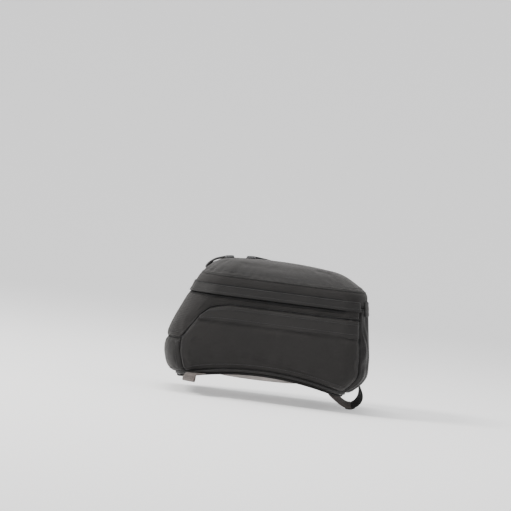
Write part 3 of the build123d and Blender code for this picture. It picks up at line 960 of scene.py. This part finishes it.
def crown_point(x, y, lift=0.0):
    """A point on the lid's crown, lifted along its normal, and the normal."""
    x, y = np.asarray(x, float), np.asarray(y, float)
    dx = crown_height(x + 0.5, y) - crown_height(x - 0.5, y)
    dy = crown_height(x, y + 0.5) - crown_height(x, y - 0.5)
    normal = unit(np.stack([-dx, -dy, np.ones(dx.shape)], -1))
    return np.stack([x, y, crown_height(x, y)], -1) + normal * lift, normal


def crown_grid(rows, cols, inset=0.0):
    """X and Y of a grid over the crown, from the rear to the front and from side to side."""
    x, y = at_shoulder(np.linspace(1, 4, 301))
    rear, front = x[0] + inset, x[-1] - inset
    x_rows = lerp(rear, front, rows_between(rows, 0.85))
    half = np.interp(x_rows, lerp(rear, front, (x - x[0]) / (x[-1] - x[0])), -y - inset)
    v = lerp(-1, 1, rows_between(cols, 0.7))[::-1]
    return np.repeat(x_rows[:, None], cols + 1, 1), half[:, None] * v[None, :]


def crown():
    """The padded top of the lid."""
    gx, gy = crown_grid(104, 72)
    points, normal = crown_point(gx, gy)
    r, angle, edge = crown_share(gx, gy)
    border = np.maximum(0, (1 - r)) * edge
    points[..., 2] = np.maximum(points[..., 2], SHOULDER - 0.2)
    pucker = 0.5 * np.sin(angle * 46 + 2 * noise_at(points, (40, 40, 40), 41)) * np.exp(-border / 9)
    height = 0.5 + pucker * smooth(1.5, 5, border) - 0.8 * np.exp(-((border / 1.8) ** 2))
    height += uneven(points, border, 0.8, (90, 60, 60), 42, (5, 25))
    # border also lets the fabric paint shade along the shoulder seam.
    obj = cloth_grid("lid_crown", points + normal * height[..., None], border=border)
    puff(obj, border, 2.5, 1.5, slack=0.008)
    press(obj, lambda points: 0.8 * creased(points, (60, 42, 60), 98))
    x, y = at_shoulder(all_round(240))
    scale = 1 - 6.5 / np.hypot(x - APEX_X, y)
    seam = crown_point(APEX_X + (x - APEX_X) * scale, y * scale, 1.2)
    sew("crown_stitches", [seam], "lid", "rubberised_fabric")
    dress(thicken(obj, PANEL_PLY), PAINTED_LIT_LID_WOVEN, "lid", "woven_fabric", "lid_shell", fill=0.8)


def lid_band():
    """The lid's upright band, from its zip up to the shoulder seam."""
    obj, _ = panel(
        "lid_band", LID, None, by_front(132.6, 126.4), level_line(SHOULDER), (240, 12), crown=0.6, tuck=0.7,
        closed=True, shape=lambda base, border: 0.3 * noise_at(base, (40, 40, 30), 51),
    )
    dress(thicken(obj, 3.0), WOVEN, "lid", "woven_fabric", fill=0.6)
    piping = closed_line(LID, level_line(SHOULDER), -0.1)
    dress(tube("shoulder_piping", piping, 0.8, closed=True), PAINTED_LIT_LID_WOVEN, "lid", "woven_fabric")


def lid_inside():
    inset = 6.4
    gx, gy = crown_grid(60, 40, inset)
    points = np.stack([gx, gy, crown_height(gx, gy, inset) - inset], -1)
    points[..., 2] += 0.4 * noise_at(points, (50, 50, 50), 61)
    roof = cloth_grid("lid_lining_roof", points[:, ::-1])
    dress(thicken(roof, LINING_PLY), LINING, "lid", "lining", "lid_lining")
    profile = [(-6.2, 143.0), (-6.3, 140.0), (-inset, 136.0), (-inset, by_front(133.0, 126.6)(ROUND))]
    rim("lid_lining_wall", LID, profile, LINING, "lid", "lining")


def flap():
    """The coated flap over the zip, sewn to the lid and loose along its lower edge."""
    t = np.linspace(-FLAP_END, FLAP_END, 261)
    f = np.linspace(0, 1, 12)[:, None]
    base, normal = skin(LID, t, lerp(FLAP_LOW - 0.2, FLAP_SEAM + 0.6, f))
    z, loose = base[..., 2], 1 - f
    ripple = 0.45 * noise_at(base, (30, 30, 60), 71) + 0.25 * noise_at(base, (12, 12, 40), 72)
    out = 1.7 + (0.5 + ripple) * loose + 0.7 * smooth(0.72, 0.85, loose)
    out -= smooth(FLAP_END - 0.06, FLAP_END, np.abs(t)) + 1.2 * smooth(0.9, 1.0, f)
    # border marks the flap's seam and its loose lower edge, where the fabric paints shade along them.
    border = np.minimum(z - z[:1], z[-1:] - z) + 0.3
    obj = cloth_grid("zip_flap", base + normal * out[..., None], border=border)
    sew("flap_stitches", [seam_row(obj, 3), seam_row(obj, -2)], "lid", "rubberised_fabric")
    dress(thicken(obj, 1.3), FLAP_CLOTH, "lid", "rubberised_fabric", "rain_flap")


def hinge_band():
    """The strip of fabric across the front that joins the lid to the body, made as one fixed shape that is
    tied to neither.
    """
    t = np.linspace(HINGE_END, 10 - HINGE_END, 81)
    base, normal = skin(LID, t, np.linspace(113.5, 134.5, 22)[:, None])
    z = base[..., 2]
    ends = np.minimum(np.arange(81), np.arange(81)[::-1])[None, :]
    middle = np.exp(-(((z - 125.2) / 3.2) ** 2))
    out = 1.9 + 0.5 * middle - 0.7 * np.exp(-ends / 1.2) + 0.2 * noise_at(base, (25, 25, 25), 81)
    # border marks the band's top and bottom edges, where the fabric paints shade.
    border = np.minimum(z - z[:1], z[-1:] - z) + 0.6
    obj = cloth_grid("hinge_band", base + normal * out[..., None], border=border)
    sew("hinge_stitches_low", [seam_row(obj, 2), seam_row(obj, 4)], "bag", "rubberised_fabric")
    sew("hinge_stitches_high", [seam_row(obj, -3)], "lid", "rubberised_fabric")
    dress(thicken(obj, 1.1), FLAP_CLOTH, None, "rubberised_fabric", "lid_hinge_strip")
    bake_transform(obj)


def zip_tapes():
    t = np.linspace(-ZIP_END, ZIP_END, 221)
    x, y, nx, ny = outline(LID, t, 125.0)
    x, y = x - nx * TAPE_INSET, y - ny * TAPE_INSET
    halves = (("lower", "bag", 116.0, 123.7, -1, 0.35), ("upper", "lid", 126.3, 134.0, 0, -0.35))
    for name, body, low, high, edge, past_edge in halves:
        grid = np.array([np.stack([x, y, np.full(t.shape, z)], -1) for z in np.linspace(low, high, 6)])
        obj = cloth_grid(f"tape_{name}", grid)
        dress(thicken(obj, 0.7), TAPE_CLOTH, body, "zip_tape", f"zip_tape_{name}")
        normal = grid_normals(grid)[0]
        line = grid[edge] + (0, 0, past_edge) - normal * 0.35
        teeth = stitches(f"teeth_{name}", [(line, normal)], 1.6, 1.9, 0.62, upright=True)
        dress(teeth, ZIP_METAL, body, "zip_tape")


# ---- straps and handle ----

def front_loop():
    """The strap that goes round the steering head, black webbing: its base end is painted grey as a highlight
    of light bounced up off the floor onto its flat side, and its front end is black.
    """
    corners = [(92, 7), (105, -1), (121, -13), (141, -26), (156.5, -20.5), (162, -4), (153, 14)]
    path = even(curve([(x, 0, z) for x, z in corners], 9), 2.0)
    along = run_lengths(path)
    share = along / along[-1]
    twist = 0.42 * smooth(0.05, 0.3, share) * (1 - smooth(0.7, 0.95, share))
    path[:, 1] += 1.2 * np.sin(share * math.pi)
    cut = int(len(path) * 0.52)
    lap = cut + 5
    grey = ribbon("front_strap_painted_lit", path[:lap], (0, 1, 0), 21, 1.9, twist[:lap])
    lapped = path.copy()
    lapped[cut : lap + 1] += np.array([0.5, 0, -1.2])
    black = ribbon("front_strap_black", lapped[cut:], (0, 1, 0), 21.5, 2.1, twist[cut:])
    dress(grey, PAINTED_HIGHLIGHT_WEBBING, "bag", "grey_webbing", "front_strap_loop")
    dress(black, BLACK_WEBBING, "bag", "black_webbing")
    wide, inward = strap_frame(lapped, (0, 1, 0), twist)
    rows = []
    for n in (cut + 1, cut + 4):
        line = lapped[n] - inward[n] * 1.1 + np.linspace(-9, 9, 19)[:, None] * wide[n]
        rows.append((line, np.repeat(-inward[n][None], 19, 0)))
    sew("front_strap_stitches", rows, "bag", "black_webbing")


def release_tab():
    """The pulled end of the release strap, folded over and sewn."""
    def on_line(points):
        return np.array([LATCH_OUT * s + np.array([0, 0, z]) for s, z in points])

    strap = [(80, 8), (95, 6.8), (116, 1.6), (133, -0.2), (141.5, -0.8), (141.8, -11.3)]
    # The tab and its fold are black webbing painted grey: a painted highlight of the light bounced up off the
    # floor.
    strap = ribbon("release_strap_tab", even(on_line(curve(strap, 9)), 2.0), LATCH_ACROSS, 23, 1.5)
    dress(strap, PAINTED_HIGHLIGHT_WEBBING, "latch", "grey_webbing", "release_strap")
    fold = [(139.9, -2.2), (140.0, -6.5), (140.2, -10.9), (143.4, -11.6), (143.5, -8.6), (143.4, -4.2)]
    fold = ribbon("release_strap_fold", even(on_line(curve(fold, 7)), 1.0), LATCH_ACROSS, 23.4, 1.3)
    dress(fold, PAINTED_HIGHLIGHT_WEBBING, "latch", "grey_webbing")
    across = np.linspace(-10, 10, 21)[:, None] * LATCH_ACROSS
    rows = [(on_line([(144.2, z)]) + across, np.repeat(LATCH_OUT[None], 21, 0)) for z in (-5.2, -7.2)]
    sew("release_strap_stitches", rows, "latch", "grey_webbing")


def handle():
    """A rubbery loop that lies over to the left, its two ends sewn to patches on the crown."""
    plan = [
        (-60.5, -15), (-60.5, 5), (-62, 20), (-89, 36), (-91, 62), (-45, 64.5), (1, 62), (-1, 36), (-28, 20),
        (-29.5, 5), (-29.5, -15),
    ]
    x, y = even(curve([(x, y, 0) for x, y in plan], 12), 2.2)[:, :2].T
    points, normal = crown_point(x, y)
    lift = lerp(2.6, 4.2, smooth(-3, 8, y)) - 1.6 * smooth(14, 34, y)
    points = points + normal * lift[:, None]
    loop = ribbon("handle_loop", points, np.cross(normal, np.gradient(points, axis=0)), 13.5, 3.4)
    loop.modifiers.new("soft", "SUBSURF").render_levels = 1
    dress(loop, RUBBER, None, "handle_rubber", "carry_handle")
    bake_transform(loop)
    rows = []
    for name, centre in HANDLE_ENDS:
        gx, gy = np.meshgrid(
            centre + np.linspace(PATCH_HALF, -PATCH_HALF, 10), np.linspace(PATCH_LEFT, PATCH_RIGHT, 16)
        )
        edge = np.minimum(np.minimum(gy - PATCH_RIGHT, PATCH_LEFT - gy), PATCH_HALF - np.abs(gx - centre))
        base, out = crown_point(gx, gy)
        points = base + out * (1.5 + 0.6 * smooth(0, 2, edge))[..., None]
        # The patch's edges are marked, so the fabric paints shade round them.
        patch = cloth_grid(f"handle_patch_{name}", points, border=edge + 0.8)
        dress(thicken(patch, 1.4), WOVEN, "lid", "woven_fabric", "handle_anchors")
        rows += [crown_point(centre + np.linspace(-5, 5, 11), np.full(11, fy), 4.4) for fy in (-12.5, -8.0)]
        rows += [crown_point(np.full(25, centre + fx), np.linspace(-19, 5, 25), 2.3) for fx in (-7.2, 7.2)]
    sew("handle_stitches", rows, "lid", "woven_fabric", pitch=2.6, length=1.9)


def spring_pair():
    """The two coil springs behind the latch, made at one fixed length."""
    turn = np.linspace(0, SPRING_TURNS * 2 * math.pi, 97)
    along = SPRING_START + (SPRING_END - SPRING_START) * turn / turn[-1]
    level = SPRING_LEVEL + SPRING_RADIUS * np.sin(turn)
    for name, side in (("rear", -1), ("front", 1)):
        reach = side * SPRING_APART + SPRING_RADIUS * np.cos(turn)
        path = np.outer(along, LATCH_OUT) + np.outer(reach, LATCH_ACROSS) + np.outer(level, (0, 0, 1))
        coil = tube(f"latch_spring_{name}", path, SPRING_WIRE)
        dress(coil, STEEL, "bag", "steel", "latch_springs")
        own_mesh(coil)


for make in (side_panel, side_fin):
    make(1)
    make(-1)
for make in (
    rear_wrap, bumper, front, gusset, seam_welts, base_pad, spring_pair, tub_rim, lid_rim, compartment, crown,
    lid_band, lid_inside, flap, hinge_band, zip_tapes, front_loop, release_tab, handle,
):
    make()

# ---- the carried-over CAD parts ----

CAD_FINISH = {
    "tank_ring": (RING_PLASTIC, "ring_plastic"), "receiver_ring": (RING_PLASTIC, "ring_plastic"),
    "ring_screws": (STEEL, "steel"), "ring_nuts": (STEEL, "steel"),
    "base_plate": (BLACK_PLASTIC, "plate_plastic"), "release_latch": (BLACK_PLASTIC, "latch_plastic"),
    "zip_slider_left": (ZIP_METAL, "zip_metal"), "zip_slider_right": (ZIP_METAL, "zip_metal"),
    "zip_pull_left": (ZIP_METAL, "zip_metal"), "zip_pull_right": (ZIP_METAL, "zip_metal"),
}
for node, (material, slot) in CAD_FINISH.items():
    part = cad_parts[node]
    part.data.materials.clear()
    part.data.materials.append(material)
    bevel = part.modifiers.new("soft_edges", "BEVEL")
    bevel.width = 0.3 * MM
    bevel.segments = 2
    bevel.limit_method = "ANGLE"
    bevel.angle_limit = math.radians(40)

# ---- camera, light and floor ----

ROLL, DOWN = math.radians(7.3), math.radians(1.0)
screen_up = Vector((-math.sin(ROLL), 0, math.cos(ROLL)))
screen_right = Vector((math.cos(ROLL), 0, math.sin(ROLL)))
back = Vector((0, -1, 0)) * math.cos(DOWN) + screen_up * math.sin(DOWN)
up = back.cross(screen_right)
DISTANCE, VIEW_WIDTH, VIEW_HEIGHT = 3.8, 0.746, 0.1847
aim = Vector((0, -0.11, 0)) + screen_up * VIEW_HEIGHT
lens = bpy.data.cameras.new("camera")
lens.lens = 36 * DISTANCE / VIEW_WIDTH
lens.clip_end = 60
camera = bpy.data.objects.new("camera", lens)
SCENE.collection.objects.link(camera)
turned = Matrix((screen_right, up, back)).transposed().to_4x4()
camera.matrix_world = Matrix.Translation(aim + back * DISTANCE) @ turned
SCENE.camera = camera


def lamp(name, place, target, size, power, colour):
    data = bpy.data.lights.new(name, "AREA")
    data.shape, data.size, data.energy, data.color = "DISK", size, power, colour
    obj = bpy.data.objects.new(name, data)
    SCENE.collection.objects.link(obj)
    obj.location = place
    obj.rotation_mode = "QUATERNION"
    obj.rotation_quaternion = (Vector(target) - Vector(place)).to_track_quat("-Z", "Y")


lamp("key", (-1.9, -0.95, 1.8), (0, 0, 0.08), 0.9, 76, (1.0, 0.98, 0.95))
lamp("top", (-0.5, 0.3, 2.4), (0, 0, 0.1), 1.4, 34, (1.0, 0.99, 0.98))
lamp("fill", (2.2, -1.8, 0.9), (0, 0, 0.08), 1.4, 3, (1.0, 1.0, 1.0))

world = bpy.data.worlds.new("studio")
world.use_nodes = True
world.node_tree.nodes["Background"].inputs["Color"].default_value = (0.96, 0.96, 0.97, 1)
world.node_tree.nodes["Background"].inputs["Strength"].default_value = 0.9
SCENE.world = world

# The floor is a shallow bowl, flat round the bag and rising far behind it. Its sizes are in metres.
FLOOR_LEVEL = -0.0305
radius = np.concatenate([np.linspace(10, 4.3, 20), np.linspace(4, 0.0005, 24)])[:, None]
level = np.broadcast_to(FLOOR_LEVEL + 3.2 * smooth(3.5, 10, radius), (len(radius), 96))
bowl = np.stack([radius * np.cos(full_turn()), radius * np.sin(full_turn()), level], -1)
studio = cloth_grid("studio_floor", bowl / MM, True)
paper = Nodes("pale_floor")
tint = paper.add("ShaderNodeTexNoise", {"Scale": 3.0, "Detail": 3.0}).outputs["Fac"]
studio.data.materials.append(paper.surface({
    "Base Color": paper.ramp(tint, [(0.3, 0.86), (0.7, 0.9)]), "Roughness": 0.9,
    "Emission Color": (1, 1, 1, 1), "Emission Strength": 0.35,
}))
